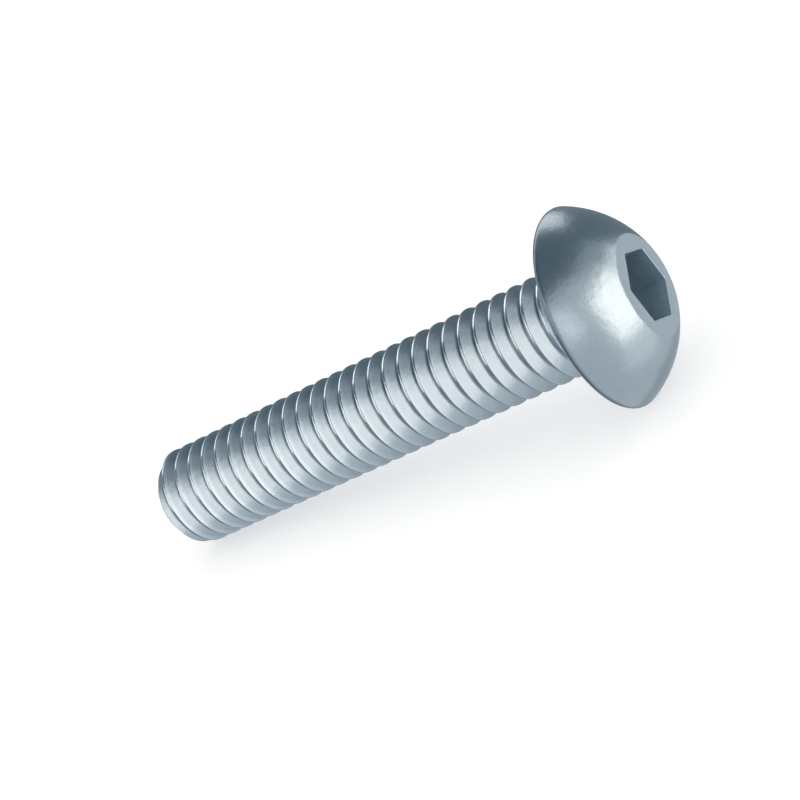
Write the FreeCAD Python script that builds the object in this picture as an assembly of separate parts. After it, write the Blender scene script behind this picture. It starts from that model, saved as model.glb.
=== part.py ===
"""M4 x 20 button head socket screw, in mm, lying on its head rim and its tip as it comes to rest.

The screw is drawn upright, tip at the origin and head at the top, then laid along +X.
"""
import math
import os

import FreeCAD, Part
from FreeCAD import Vector

# Driving sizes: M4 coarse thread with its 6g allowance, and the head of the matching button head size
thread_diameter = 3.93
screw_length = 20.0
tip_face_diameter = 3.0
neck_fillet = 0.3
head_diameter = 7.6
head_height = 2.2
rim_radius = 0.2
crown_flat_diameter = 3.76
socket_across_flats = 2.5
socket_depth = 1.35
socket_point_depth = 0.45

# Turn of the outline's seam away from the top, in degrees: meshed, the rim then has a facet close to underneath,
# so that the screw doesn't roll on
seam_turn = 4

thread_r = thread_diameter / 2
tip_face_r = tip_face_diameter / 2
head_r = head_diameter / 2
crown_flat_r = crown_flat_diameter / 2
tip_chamfer = thread_r - tip_face_r
head_top = screw_length + head_height
rim_height = screw_length + rim_radius


def at(radius, height):
    """Point of the turned outline, on the side that lies on top."""
    return Vector(-radius, 0, height)


def arc(centre, radius, start_deg, end_deg):
    """Arc of the outline, its angles measured from outwards towards the head."""
    angles = [math.radians(a) for a in (start_deg, (start_deg + end_deg) / 2, end_deg)]
    return Part.Arc(*[centre + at(radius * math.cos(a), radius * math.sin(a)) for a in angles]).toShape()


def crown():
    """The domed top: a ball zone, centred on the axis, from the rim up to the flat ring."""
    rise = head_top - rim_height
    centre_height = (head_top + rim_height) / 2 - (head_r**2 - crown_flat_r**2) / (2 * rise)
    radius = math.hypot(head_r, rim_height - centre_height)
    start = math.degrees(math.atan2(rim_height - centre_height, head_r))
    end = math.degrees(math.atan2(head_top - centre_height, crown_flat_r))
    return arc(at(0, centre_height), radius, start, end)


def turned_body():
    """Shank, neck fillet and head as one revolved outline."""
    neck_r = thread_r + neck_fillet
    edges = [
        Part.makeLine(at(0, 0), at(tip_face_r, 0)),
        Part.makeLine(at(tip_face_r, 0), at(thread_r, tip_chamfer)),
        Part.makeLine(at(thread_r, tip_chamfer), at(thread_r, screw_length - neck_fillet)),
        arc(at(neck_r, screw_length - neck_fillet), neck_fillet, 180, 90),
        Part.makeLine(at(neck_r, screw_length), at(head_r - rim_radius, screw_length)),
        arc(at(head_r - rim_radius, rim_height), rim_radius, -90, 0),
        crown(),
        Part.makeLine(at(crown_flat_r, head_top), at(0, head_top)),
        Part.makeLine(at(0, head_top), at(0, 0)),
    ]
    return Part.Face(Part.Wire(edges)).revolve(Vector(0, 0, 0), Vector(0, 0, 1), 360)


def socket():
    """Hexagonal key hole with one corner along +X, and the drill point below it."""
    corner_r = socket_across_flats / math.sqrt(3)
    corners = [
        Vector(corner_r * math.cos(math.radians(60 * i)), corner_r * math.sin(math.radians(60 * i)), head_top)
        for i in range(7)
    ]
    hexagon = Part.Face(Part.makePolygon(corners)).extrude(Vector(0, 0, -socket_depth))
    floor = Vector(0, 0, head_top - socket_depth)
    point = Part.makeCone(socket_across_flats / 2, 0, socket_point_depth, floor, Vector(0, 0, -1))
    return hexagon.fuse(point)


def resting_tilt():
    """Angle of the axis when the rounded rim and the shank's end edge lie on one plane."""
    along = rim_height - tip_chamfer
    across = head_r - rim_radius - thread_r
    return math.degrees(math.atan2(across, along) + math.asin(rim_radius / math.hypot(along, across)))


tilt = resting_tilt()
blank = turned_body()
blank.rotate(Vector(0, 0, 0), Vector(0, 0, 1), seam_turn)
screw = blank.cut(socket()).Solids[0]
screw.rotate(Vector(0, 0, 0), Vector(0, 1, 0), 90 - tilt)
box = screw.optimalBoundingBox(False, False)
screw.translate(Vector(-box.Center.x, 0, -box.ZMin))

os.makedirs("parts", exist_ok=True)
screw.exportStep("parts/screw.step")
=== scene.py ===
import math

import bmesh
import bpy
from mathutils import Matrix, Vector


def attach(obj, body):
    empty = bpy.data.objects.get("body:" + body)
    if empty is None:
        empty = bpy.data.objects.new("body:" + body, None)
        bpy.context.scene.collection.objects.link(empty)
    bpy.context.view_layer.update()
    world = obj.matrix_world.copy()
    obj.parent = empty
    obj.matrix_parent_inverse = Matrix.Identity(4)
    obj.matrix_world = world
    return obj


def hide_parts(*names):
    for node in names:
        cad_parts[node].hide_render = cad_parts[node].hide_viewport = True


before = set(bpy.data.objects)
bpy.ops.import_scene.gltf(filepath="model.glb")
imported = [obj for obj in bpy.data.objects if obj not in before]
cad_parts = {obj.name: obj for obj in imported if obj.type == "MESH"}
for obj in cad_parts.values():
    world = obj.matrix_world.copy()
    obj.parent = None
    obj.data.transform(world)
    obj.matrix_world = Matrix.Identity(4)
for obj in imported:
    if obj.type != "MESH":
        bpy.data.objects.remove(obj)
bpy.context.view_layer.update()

# The screw is built in millimetres along its axis, tip at 0 and head towards +X, then laid down in metres
mm = 0.001
weld = 0.002                                                        # mm, points closer than this are joined


def layDown():                                                      # it rests on its head's rim and its tip
    lay = {"tilt": 5.314688326, "tipCentre": (-11.069880, 0.0, 1.913482)}
    place = Matrix.Translation(Vector(lay["tipCentre"]) * mm)
    return place @ Matrix.Rotation(-math.radians(lay["tilt"]), 4, "Y") @ Matrix.Scale(mm, 4)


def addObject(name, data):
    thing = bpy.data.objects.new(name, data)
    bpy.context.scene.collection.objects.link(thing)
    return thing


# Helpers for the node trees
def feed(tree, socket, value):
    if isinstance(value, bpy.types.NodeSocket):
        tree.links.new(value, socket)
    else:
        socket.default_value = value


def addSockets(tree, way, kinds):
    for name, kind in kinds.items():
        tree.interface.new_socket(name=name, in_out=way, socket_type="NodeSocket" + kind)


def mathNode(tree, operation, *values):
    node = tree.nodes.new("ShaderNodeMath")
    node.operation = operation
    for socket, value in zip(node.inputs, values):
        feed(tree, socket, value)
    return node.outputs[0]


def mapNode(tree, value, fromMin, fromMax, toMin, toMax, blend="LINEAR"):
    node = tree.nodes.new("ShaderNodeMapRange")
    node.interpolation_type = blend
    items = {"Value": value, "From Min": fromMin, "From Max": fromMax, "To Min": toMin, "To Max": toMax}
    for name, item in items.items():
        feed(tree, node.inputs[name], item)
    return node.outputs[0]


def mixNode(tree, share, low, high, blend="MIX"):
    node = tree.nodes.new("ShaderNodeMix")
    node.data_type = "RGBA"
    node.blend_type = blend
    for index, value in ((0, share), (6, low), (7, high)):          # the sockets of a colour mix
        feed(tree, node.inputs[index], value)
    return node.outputs[2]


def markNode(tree, name, output="Fac"):
    node = tree.nodes.new("ShaderNodeAttribute")
    node.attribute_name = name
    return node.outputs[output]


# Thread: a sheared grid whose rows follow the helix
def threadTree():
    tree = bpy.data.node_groups.new("rolledThread", "GeometryNodeTree")
    addSockets(tree, "INPUT", {
        "Crest Radius": "Float", "Depth": "Float", "Pitch": "Float", "Crest Flat": "Float",
        "Crest Round": "Float", "Root Round": "Float", "Tip Radius": "Float", "Start": "Float",
        "Full Depth To": "Float", "Runout End": "Float", "Shank End": "Float",
        "Columns": "Int", "Turns": "Int", "Material": "Material",
    })
    addSockets(tree, "OUTPUT", {"Geometry": "Geometry"})
    ask = tree.nodes.new("NodeGroupInput").outputs

    def calc(operation, *values):
        return mathNode(tree, operation, *values)

    perTurn = 16.0                                                  # rows on a crest, its flanks and a root
    slope = math.sqrt(3)                                            # of the flanks, 60 degrees to the axis
    rows = calc("MULTIPLY", ask["Turns"], perTurn)
    grid = tree.nodes.new("GeometryNodeMeshGrid")
    feed(tree, grid.inputs["Size X"], 1.0)
    feed(tree, grid.inputs["Size Y"], 1.0)
    feed(tree, grid.inputs["Vertices X"], calc("ADD", ask["Columns"], 1.0))
    feed(tree, grid.inputs["Vertices Y"], calc("ADD", rows, 1.0))
    here = tree.nodes.new("ShaderNodeSeparateXYZ")
    feed(tree, here.inputs[0], tree.nodes.new("GeometryNodeInputPosition").outputs[0])
    turn = calc("ADD", here.outputs["X"], 0.5)                      # 0 to 1 round the screw
    row = calc("ROUND", calc("MULTIPLY", calc("ADD", here.outputs["Y"], 0.5), rows))

    # Where each row lies: its distance from the middle of its crest, on the tip's side or the head's
    near, far = ask["Crest Round"], ask["Root Round"]
    crestEdge = calc("MULTIPLY", ask["Crest Flat"], 0.5)
    rootEdge = calc("MULTIPLY_ADD", ask["Depth"], 1 / slope, crestEdge)
    flankEnd = calc("MULTIPLY_ADD", far, -2.0, rootEdge)
    stops = [                                                       # of rows 1 to 8, from crest to root
        calc("SUBTRACT", crestEdge, near), crestEdge, calc("ADD", crestEdge, near),
        calc("MULTIPLY_ADD", near, 2.0, crestEdge), flankEnd,
        calc("SUBTRACT", rootEdge, far), calc("ADD", rootEdge, far), calc("MULTIPLY", ask["Pitch"], 0.5),
    ]
    order = calc("PINGPONG", row, perTurn / 2)
    aside, last = 0.0, 0.0
    for i, stop in enumerate(stops):
        apart = calc("SUBTRACT", stop, last)
        aside = calc("ADD", aside, mapNode(tree, order, float(i), i + 1.0, 0.0, apart))
        last = stop
    lap = calc("FLOOR", calc("DIVIDE", calc("ADD", row, perTurn / 2), perTurn))
    side = calc("SIGN", calc("SUBTRACT", row, calc("MULTIPLY", lap, perTurn)))
    crest = calc("MULTIPLY_ADD", calc("ADD", turn, lap), ask["Pitch"], ask["Start"])

    # The rows that the tip's chamfer would cut off move to where it meets the flank
    chamfer = calc("SUBTRACT", calc("SUBTRACT", ask["Crest Radius"], ask["Tip Radius"]), crest)
    chamfer = calc("DIVIDE", calc("MULTIPLY_ADD", crestEdge, slope, chamfer), 1 + slope)
    chamfer = calc("MAXIMUM", calc("MINIMUM", chamfer, flankEnd), 0.0)
    aside = calc("MAXIMUM", aside, calc("MULTIPLY", side, chamfer))
    along = calc("MULTIPLY_ADD", side, aside, crest)
    along = calc("MINIMUM", calc("MAXIMUM", along, 0.0), ask["Shank End"])

    # Depth of the groove there, measured afresh because the two ends have moved some rows
    cycle = calc("SUBTRACT", calc("DIVIDE", calc("SUBTRACT", along, ask["Start"]), ask["Pitch"]), turn)
    aside = calc("MULTIPLY", calc("PINGPONG", cycle, 0.5), ask["Pitch"])
    flank = calc("MULTIPLY", calc("SUBTRACT", aside, crestEdge), slope)
    cut = calc("SMOOTH_MIN", flank, ask["Depth"], calc("MULTIPLY", far, 2.0))
    cut = calc("SMOOTH_MAX", cut, 0.0, calc("MULTIPLY", near, 2.0))
    fade = mapNode(tree, along, ask["Full Depth To"], ask["Runout End"], 1.0, 0.0, "SMOOTHSTEP")
    cut = calc("MULTIPLY", cut, fade)
    chamferRound = 0.02                                             # for the edges of the 45 degree chamfer
    radius = calc("SUBTRACT", ask["Crest Radius"], cut)
    radius = calc("SMOOTH_MIN", radius, calc("ADD", ask["Tip Radius"], along), chamferRound)

    angle = calc("MULTIPLY", turn, 2 * math.pi)
    spot = tree.nodes.new("ShaderNodeCombineXYZ")
    feed(tree, spot.inputs["X"], along)
    feed(tree, spot.inputs["Y"], calc("MULTIPLY", calc("MULTIPLY", radius, calc("SINE", angle)), -1.0))
    feed(tree, spot.inputs["Z"], calc("MULTIPLY", radius, calc("COSINE", angle)))

    def passOn(kind, shape, values):                                # a node that changes the shape
        node = tree.nodes.new("GeometryNode" + kind)
        feed(tree, node.inputs["Geometry"], shape)
        for name, value in values.items():
            feed(tree, node.inputs[name], value)
        return node.outputs["Geometry"]

    # Marks for the finish and for its painted shade and highlight: the groove's depth, 0 on the crest and 1
    # in the root, and rolled, 1 on all of the thread
    shape = grid.outputs["Mesh"]
    grooveAndRimShade = calc("DIVIDE", cut, ask["Depth"])
    shape = passOn("StoreNamedAttribute", shape, {"Name": "grooveAndRimShade", "Value": grooveAndRimShade})
    shape = passOn("StoreNamedAttribute", shape, {"Name": "rolled", "Value": fade})
    shape = passOn("SetPosition", shape, {"Position": spot.outputs[0]})
    shape = passOn("MergeByDistance", shape, {"Distance": weld})
    shape = passOn("RealizeInstances", shape, {})
    shape = passOn("SetMaterial", shape, {"Material": ask["Material"]})
    feed(tree, tree.nodes.new("NodeGroupOutput").inputs["Geometry"], shape)
    return tree


def threadMesh(material):
    thread = {                                                      # it starts two turns before the tip
        "Crest Radius": 1.965, "Depth": 0.455, "Pitch": 0.7, "Crest Flat": 0.085,
        "Crest Round": 0.005, "Root Round": 0.025, "Tip Radius": 1.5, "Start": 0.64906 - 2 * 0.7,
        "Full Depth To": 19.0, "Runout End": 19.4, "Shank End": 19.5,
        "Columns": 144, "Turns": 29, "Material": material,
    }
    tree = threadTree()
    maker = addObject("threadMaker", bpy.data.meshes.new("threadMaker"))
    modifier = maker.modifiers.new("thread", "NODES")
    modifier.node_group = tree
    for item in tree.interface.items_tree:
        if item.in_out == "INPUT":
            modifier[item.identifier] = thread[item.name]
    evaluated = maker.evaluated_get(bpy.context.evaluated_depsgraph_get())
    mesh = bpy.data.meshes.new_from_object(evaluated)
    maker.modifiers.clear()
    bpy.data.objects.remove(maker)
    print("thread:", len(mesh.vertices), "vertices")
    return mesh, thread


# Head, neck, socket and tip face: rings of the same columns as the thread, each given as along and radius
def headRings(thread):
    head = {
        "neckFillet": 0.3, "bearing": 20.0, "headRadius": 3.8, "rim": 0.2, "top": 22.2, "crownFlat": 1.88,
        "acrossFlats": 2.5, "socketDepth": 1.35, "pointDepth": 0.45, "pointRadius": 1.2, "edge": 0.02,
        "neckSteps": 7, "rimSteps": 8, "crownSteps": 28, "pointSteps": 6,
        "underside": 3.0, "flatRing": 1.66, "socketWall": (0.45, 0.9),   # rings on the plain faces between
    }
    shank, fillet, rim, outer = thread["Crest Radius"], head["neckFillet"], head["rim"], head["headRadius"]
    bearing, top, edge, crownFlat = head["bearing"], head["top"], head["edge"], head["crownFlat"]

    rings = [(thread["Shank End"], shank)]
    for i in range(head["neckSteps"] + 1):
        turn = math.radians(90 * i / head["neckSteps"])
        rings.append((bearing - fillet * (1 - math.sin(turn)), shank + fillet * (1 - math.cos(turn))))
    rings.append((bearing, head["underside"]))
    rimTop = bearing + rim
    for i in range(head["rimSteps"] + 1):
        turn = math.radians(-90 + 90 * i / head["rimSteps"])
        rings.append((rimTop + rim * math.sin(turn), outer - rim + rim * math.cos(turn)))
    rounding = range(len(rings) - head["rimSteps"], len(rings))

    # The crown is a zone of a ball
    centre = (top + rimTop) / 2 - (outer ** 2 - crownFlat ** 2) / (2 * (top - rimTop))
    ball = math.hypot(outer, rimTop - centre)
    first, last = math.atan2(rimTop - centre, outer), math.atan2(top - centre, crownFlat)
    for i in range(1, head["crownSteps"] + 1):
        turn = first + (last - first) * i / head["crownSteps"]
        rings.append((centre + ball * math.sin(turn), ball * math.cos(turn)))
    rings += [(top, crownFlat - edge), (top, head["flatRing"])]

    def hexagon(grow):                                              # radius of the key hole by its angle
        half = head["acrossFlats"] / 2 + grow
        return lambda turn: half / math.cos((turn % (math.pi / 3)) - math.pi / 6)

    floor = top - head["socketDepth"]
    rings += [(top, hexagon(edge)), (top - edge * 0.3, hexagon(edge * 0.3)), (top - edge, hexagon(0.0))]
    socketFrom = len(rings) - 1
    rings += [(top - depth, hexagon(0.0)) for depth in head["socketWall"]]
    rings += [(floor + edge, hexagon(0.0)), (floor, hexagon(-edge))]
    for i in range(head["pointSteps"]):                             # drill point
        share = i / head["pointSteps"]
        rings.append((floor - head["pointDepth"] * share, head["pointRadius"] * (1 - share)))
    return rings, floor - head["pointDepth"], socketFrom, rounding


def addRings(shell, columns, rings, pole, socketFrom=math.inf, rounding=()):
    grooveAndRimShade = shell.verts.layers.float["grooveAndRimShade"]
    loops = []
    for step, (along, radius) in enumerate(rings):
        loop = []
        for i in range(columns):
            turn = 2 * math.pi * i / columns
            reach = radius(turn) if callable(radius) else radius
            vert = shell.verts.new((along, -reach * math.sin(turn), reach * math.cos(turn)))
            vert[grooveAndRimShade] = float(step in rounding)                  # the rim's rounding gets a painted shade too
            loop.append(vert)
        loops.append(loop)
    for step, (low, high) in enumerate(zip(loops, loops[1:])):
        for i in range(columns):
            j = (i + 1) % columns
            shell.faces.new((low[i], low[j], high[j], high[i])).material_index = int(step >= socketFrom)
    middle, end = shell.verts.new((pole, 0.0, 0.0)), loops[-1]
    for i in range(columns):
        j = (i + 1) % columns
        shell.faces.new((end[i], end[j], middle)).material_index = int(len(loops) > socketFrom)


def screwPiece():
    skin = platedSkin()
    bright, dullShadedSocket = brightZinc(skin), socketZinc(skin)
    mesh, thread = threadMesh(bright)
    columns, tipRadius = thread["Columns"], thread["Tip Radius"]
    tipFace = [(0.0, radius) for radius in (tipRadius, tipRadius - 0.03, 0.9, 0.4)]
    sliver, sharpFrom = weld / 4, 55                                # mm and degrees
    shell = bmesh.new()
    shell.from_mesh(mesh)
    for face in shell.faces:                                        # bright, whatever slot the tree gave it
        face.material_index = 0
    addRings(shell, columns, *headRings(thread))
    addRings(shell, columns, tipFace, 0.0)
    bmesh.ops.remove_doubles(shell, verts=shell.verts, dist=weld)
    bmesh.ops.dissolve_degenerate(shell, edges=shell.edges, dist=sliver)
    bmesh.ops.recalc_face_normals(shell, faces=shell.faces)
    openEdges = sum(1 for e in shell.edges if not e.is_manifold)
    shell.transform(layDown())
    mesh.materials.clear()
    mesh.materials.append(bright)
    mesh.materials.append(dullShadedSocket)
    shell.to_mesh(mesh)
    shell.free()
    mesh.shade_smooth()
    mesh.set_sharp_from_angle(angle=math.radians(sharpFrom))
    mesh.name = "screwBody"
    piece = addObject("screwBody", mesh)
    piece.visible_glossy = False                                    # so that a flank reflects only the room
    triangles = sum(len(p.vertices) - 2 for p in mesh.polygons)
    print("screw:", triangles, "triangles,", openEdges, "open edges")
    return piece


# Finishes, with painted shade and highlights on the zinc: colours are linear, scales are per metre and
# heights are in metres
def platedSkin():                                                   # the plating's clouds and fine crystals
    tree = bpy.data.node_groups.new("platedSkin", "ShaderNodeTree")
    addSockets(tree, "INPUT", {
        "Light": "Color", "Dull": "Color", "Smooth": "Float", "Rough": "Float",
        "Cloud Scale": "Float", "Grain Scale": "Float", "Cloud Height": "Float",
    })
    addSockets(tree, "OUTPUT", {"Colour": "Color", "Roughness": "Float", "Normal": "Vector"})
    ask, give = tree.nodes.new("NodeGroupInput").outputs, tree.nodes.new("NodeGroupOutput").inputs
    place = tree.nodes.new("ShaderNodeTexCoord").outputs["Object"]
    noise = {}
    for name, detail, roughness in (("Cloud", 5.0, 0.6), ("Grain", 3.0, 0.5)):
        node = tree.nodes.new("ShaderNodeTexNoise")
        values = {"Vector": place, "Scale": ask[name + " Scale"], "Detail": detail, "Roughness": roughness}
        for socket, value in values.items():
            feed(tree, node.inputs[socket], value)
        noise[name] = node.outputs["Fac"]
    low, high, grainShare = 0.32, 0.68, 0.35                        # most of a noise lies from low to high
    tone = mapNode(tree, noise["Cloud"], low, high, 0.0, 1.0)
    feed(tree, give["Colour"], mixNode(tree, tone, ask["Dull"], ask["Light"]))
    both = mathNode(tree, "MULTIPLY", noise["Cloud"], 1 - grainShare)
    both = mathNode(tree, "MULTIPLY_ADD", noise["Grain"], grainShare, both)
    feed(tree, give["Roughness"], mapNode(tree, both, low, high, ask["Rough"], ask["Smooth"]))
    bump = tree.nodes.new("ShaderNodeBump")
    feed(tree, bump.inputs["Strength"], 1.0)
    feed(tree, bump.inputs["Distance"], ask["Cloud Height"])
    feed(tree, bump.inputs["Height"], noise["Cloud"])
    feed(tree, give["Normal"], bump.outputs["Normal"])
    return tree


def addSkin(tree, skin, values):
    node = tree.nodes.new("ShaderNodeGroup")
    node.node_tree = skin
    for name, value in values.items():
        feed(tree, node.inputs[name], (*value, 1.0) if isinstance(value, tuple) else value)
    return node.outputs


def newMaterial(name, values):
    material = bpy.data.materials.new(name)
    material.use_nodes = True
    shader = material.node_tree.nodes["Principled BSDF"].inputs
    for socket, value in values.items():
        shader[socket].default_value = value
    return material, material.node_tree, shader


def brightZinc(skin):
    head = {
        "Light": (0.298, 0.369, 0.422), "Dull": (0.28, 0.349, 0.402), "Smooth": 0.25, "Rough": 0.28,
        "Cloud Scale": 3500.0, "Grain Scale": 5000.0, "Cloud Height": 0.00001,
    }
    # the thread's colours are darker than the head's: a painted shade of the grooves
    rolled = {
        "Light": (0.22, 0.281, 0.332), "Dull": (0.211, 0.271, 0.321), "Smooth": 0.27, "Rough": 0.31,
        "Cloud Scale": 2500.0, "Grain Scale": 5000.0,
    }
    wearAndPaintedLight = {                                                        # From and To are shares of the depth
        "crestRoughness": 0.16, "flankFrom": 0.01, "flankTo": 0.06,
        # painted highlight beside the crest, and painted shade in the root and under the rim
        "paintedHighlight": 1.28, "highlightTip": -0.006, "highlightHead": 0.004, "highlightFrom": 0.08, "highlightTo": 0.38,
        "root": (0.68, 0.7, 0.72, 1.0), "rootShadeFrom": 0.93, "rim": (0.66, 0.7, 0.73, 1.0),
    }
    material, tree, shader = newMaterial("brightZinc", {"Metallic": 1.0})
    blank, thread = addSkin(tree, skin, head), addSkin(tree, skin, rolled)
    grooveAndRimShade, onThread = markNode(tree, "grooveAndRimShade"), markNode(tree, "rolled")

    # The flanks take the thread's darker colour, a painted shade of the grooves, and are rougher than the
    # burnished crest; beside the crest towards the tip they are brighter, a painted highlight
    flank = mapNode(tree, grooveAndRimShade, wearAndPaintedLight["flankFrom"], wearAndPaintedLight["flankTo"], 0.0, 1.0)
    flank = mathNode(tree, "MULTIPLY", onThread, flank)
    colour = mixNode(tree, flank, blank["Colour"], thread["Colour"])
    place = tree.nodes.new("ShaderNodeSeparateXYZ")
    feed(tree, place.inputs[0], tree.nodes.new("ShaderNodeTexCoord").outputs["Object"])
    # painted highlight on the flank beside the crest, fading towards the head and deeper in the groove
    paintedHighlight = mapNode(tree, place.outputs["X"], wearAndPaintedLight["highlightTip"], wearAndPaintedLight["highlightHead"], wearAndPaintedLight["paintedHighlight"], 1.0)
    paintedHighlight = mapNode(tree, grooveAndRimShade, wearAndPaintedLight["highlightFrom"], wearAndPaintedLight["highlightTo"], paintedHighlight, 1.0, "SMOOTHSTEP")
    paintedHighlight = mapNode(tree, flank, 0.0, 1.0, 1.0, paintedHighlight)
    colour = mixNode(tree, 1.0, colour, paintedHighlight, "MULTIPLY")
    # The root gets a painted shade, and so does the head where its rim turns under
    root = mapNode(tree, grooveAndRimShade, wearAndPaintedLight["rootShadeFrom"], 1.0, 0.0, 1.0, "SMOOTHSTEP")
    colour = mixNode(tree, root, colour, wearAndPaintedLight["root"], "MULTIPLY")
    rim = mathNode(tree, "MULTIPLY", grooveAndRimShade, mathNode(tree, "SUBTRACT", 1.0, onThread))
    colour = mixNode(tree, rim, colour, wearAndPaintedLight["rim"], "MULTIPLY")
    feed(tree, shader["Base Color"], colour)

    crest = mapNode(tree, onThread, 0.0, 1.0, blank["Roughness"], wearAndPaintedLight["crestRoughness"])
    feed(tree, shader["Roughness"], mapNode(tree, flank, 0.0, 1.0, crest, thread["Roughness"]))
    feed(tree, shader["Normal"], blank["Normal"])
    return material


def socketZinc(skin):                                               # the key hole is punched, so duller; its darker colour is a painted shade of the hole
    hole = {
        "Light": (0.175, 0.26, 0.32), "Dull": (0.15, 0.225, 0.28), "Smooth": 0.7, "Rough": 0.9,
        "Cloud Scale": 4000.0, "Grain Scale": 7000.0, "Cloud Height": 0.000002,
    }
    material, tree, shader = newMaterial("socketZinc", {"Specular IOR Level": 0.1})
    finish = addSkin(tree, skin, hole)
    feed(tree, shader["Base Color"], finish["Colour"])
    feed(tree, shader["Roughness"], finish["Roughness"])
    feed(tree, shader["Normal"], finish["Normal"])
    return material


def palePaper():
    paper = {"fibreScale": 600.0, "fibreRange": (0.3, 0.7), "tones": (0.59, 0.61), "glow": 0.5}
    white = (1.0, 1.0, 1.0, 1.0)
    material, tree, shader = newMaterial(
        "palePaper", {"Roughness": 0.9, "Specular IOR Level": 0.1, "Emission Color": white})
    fibre = tree.nodes.new("ShaderNodeTexNoise")
    feed(tree, fibre.inputs["Scale"], paper["fibreScale"])
    feed(tree, fibre.inputs["Vector"], tree.nodes.new("ShaderNodeTexCoord").outputs["Object"])
    tone = mapNode(tree, fibre.outputs["Fac"], *paper["fibreRange"], *paper["tones"])
    feed(tree, shader["Base Color"], tone)
    rays = tree.nodes.new("ShaderNodeLightPath").outputs            # white to the camera but for the shadow
    seen = mathNode(tree, "MAXIMUM", rays["Is Glossy Ray"], rays["Is Transmission Ray"])
    seen = mathNode(tree, "MAXIMUM", rays["Is Camera Ray"], seen)
    feed(tree, shader["Emission Strength"], mathNode(tree, "MULTIPLY", seen, paper["glow"]))
    return material


def slateCloth():
    return newMaterial("slateCloth", {"Base Color": (0.3, 0.385, 0.43, 1.0), "Roughness": 1.0})[0]


def softboxSkin():
    black = (0.0, 0.0, 0.0, 1.0)
    material, tree, shader = newMaterial(
        "softboxSkin", {"Base Color": black, "Specular IOR Level": 0.0, "Emission Strength": 1.0})
    feed(tree, shader["Emission Color"], markNode(tree, "glow", "Color"))
    material.cycles.emission_sampling = "NONE"
    return material


# Stage: the floor, and a dark cloth and softboxes that only the metal reflects
def addFloor():
    half = 1.5                                                      # metres
    corners = [(-half, -half, 0), (half, -half, 0), (half, half, 0), (-half, half, 0)]
    mesh = bpy.data.meshes.new("floor")
    mesh.from_pydata(corners, [], [(0, 1, 2, 3)])
    mesh.materials.append(palePaper())
    floor = addObject("floor", mesh)
    floor.visible_glossy = False                                    # the metal reflects the room instead


def seenFrom(middle, reach, azimuth, elevation):                    # a point by direction from the screw
    a, e = math.radians(azimuth), math.radians(elevation)
    away = Vector((math.cos(a) * math.cos(e), math.sin(a) * math.cos(e), math.sin(e)))
    return (Vector(middle) + away * reach) * mm


def addReflected(name, points, faces, material):
    mesh = bpy.data.meshes.new(name)
    mesh.from_pydata(points, [], faces)
    mesh.materials.append(material)
    thing = addObject(name, mesh)
    thing.visible_camera = thing.visible_diffuse = thing.visible_shadow = False
    return thing


def addCloth():
    cloth = {
        "middle": (4.0, 0.0, 3.0), "reach": 400.0, "rows": 10, "step": 4,
        "edge": (                                                   # its lower edge, azimuth and elevation
            (-60, 52), (-25, 54), (0, 46), (25, 27), (45, 20), (60, 8), (72, -8), (86, -28), (105, -29),
            (122, -30), (142, -28), (150, 34), (160, 41), (180, 44), (208, 45), (230, 54), (300, 52),
        ),
    }
    edge, rows, overhead = cloth["edge"], cloth["rows"], 90
    columns = (edge[-1][0] - edge[0][0]) // cloth["step"]
    lows = []
    for i in range(columns + 1):
        azimuth = edge[0][0] + cloth["step"] * i
        a, b = next(pair for pair in zip(edge, edge[1:]) if azimuth <= pair[1][0])
        lows.append((azimuth, a[1] + (b[1] - a[1]) * (azimuth - a[0]) / (b[0] - a[0])))
    points, faces = [], []
    for j in range(rows + 1):
        for azimuth, low in lows:
            elevation = low + (overhead - low) * j / rows
            points.append(seenFrom(cloth["middle"], cloth["reach"], azimuth, elevation))
    for j in range(rows):
        for i in range(columns):
            k = j * (columns + 1) + i
            faces.append((k, k + 1, k + columns + 2, k + columns + 1))
    hood = addReflected("darkCloth", points, faces, slateCloth())


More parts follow.
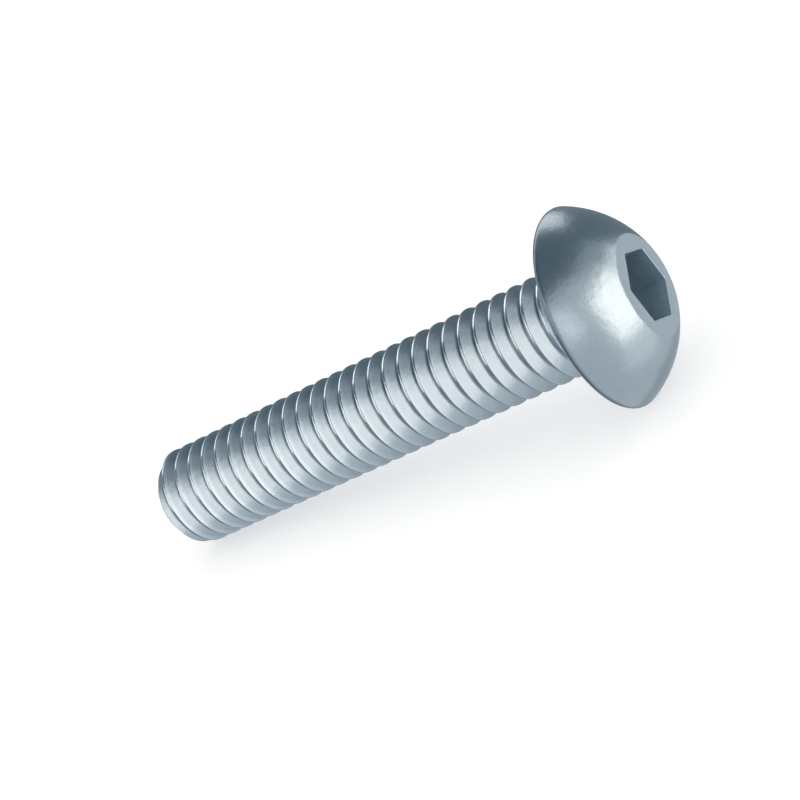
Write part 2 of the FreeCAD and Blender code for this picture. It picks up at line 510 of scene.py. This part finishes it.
def addSoftboxes():
    softboxes = {
        "middle": (4.0, 0.0, 3.0), "reach": 350.0,
        "boxes": {                                                  # corners by azimuth and elevation; glow
            "side": (((-25, -22), (20, -22), (20, 25), (-25, 25)), (3.4, 2.95, 2.6)),
            "top": (((17, 4), (49, 1), (50, 21), (17, 22)), (1.85, 1.75, 1.7)),
            "aboveTop": (((4, 36), (48, 22), (52, 34), (6, 48)), (0.62, 0.68, 0.72)),
            "low": (((-26, -50), (30, -50), (22, -22), (-25, -22)), (1.45, 1.4, 1.35)),
            "right": (((-66, 6), (-44, 8), (-46, 38), (-70, 38)), (1.85, 1.78, 1.7)),
            "front": (((-150, 10), (-123, 9), (-128, 42), (-166, 52)), (2.95, 2.65, 2.45)),
            "back": (((76, 34), (96, 9), (122, 22), (118, 50)), (1.75, 1.65, 1.6)),
            "farBack": (((118, 50), (122, 20), (162, 38), (157, 56)), (3.1, 2.9, 2.8)),
            "frontShade": (((-175, -52), (-112, -48), (-112, 10), (-168, 10)), (0.42, 0.5, 0.54)),
            "nearShade": (((115, -54), (-112, -76), (-112, -46), (-175, -42)), (0.62, 0.68, 0.72)),
            "belowShade": (((58, -61), (160, -61), (152, -28), (76, -28)), (0.54, 0.59, 0.62)),
        },
    }
    points, faces, glows = [], [], []
    for corners, glow in softboxes["boxes"].values():
        faces.append([len(points) + i for i in range(len(corners))])
        glows += [*glow, 1.0]
        for azimuth, elevation in corners:
            points.append(seenFrom(softboxes["middle"], softboxes["reach"], azimuth, elevation))
    boxes = addReflected("softboxes", points, faces, softboxSkin())
    boxes.data.attributes.new("glow", "FLOAT_COLOR", "FACE").data.foreach_set("color", glows)


def addLight():
    world = bpy.data.worlds.new("paleRoom")
    world.use_nodes = True
    room = world.node_tree.nodes["Background"].inputs
    room["Color"].default_value = (1.0, 1.0, 1.0, 1.0)
    room["Strength"].default_value = 1.0
    world.cycles.sampling_method = "NONE"
    bpy.context.scene.world = world


def addCamera():
    view = {
        "place": (41.17079, -62.75590, 39.75527), "turn": (58.86957, 31.60609, 15.72660),
        "lens": 101.7542, "sensor": 36.0, "clip": (0.001, 20.0),
    }
    data = bpy.data.cameras.new("camera")
    data.lens, data.sensor_width = view["lens"], view["sensor"]
    data.clip_start, data.clip_end = view["clip"]
    camera = addObject("camera", data)
    camera.location = Vector(view["place"]) * mm
    camera.rotation_euler = [math.radians(a) for a in view["turn"]]
    bpy.context.scene.camera = camera


addCamera()
screw = screwPiece()
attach(screw, "root")
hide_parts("screw")
print("screw placed")
addFloor()
addCloth()
addSoftboxes()
addLight()
bpy.context.scene.view_settings.view_transform = "Standard"
print("stage ready")
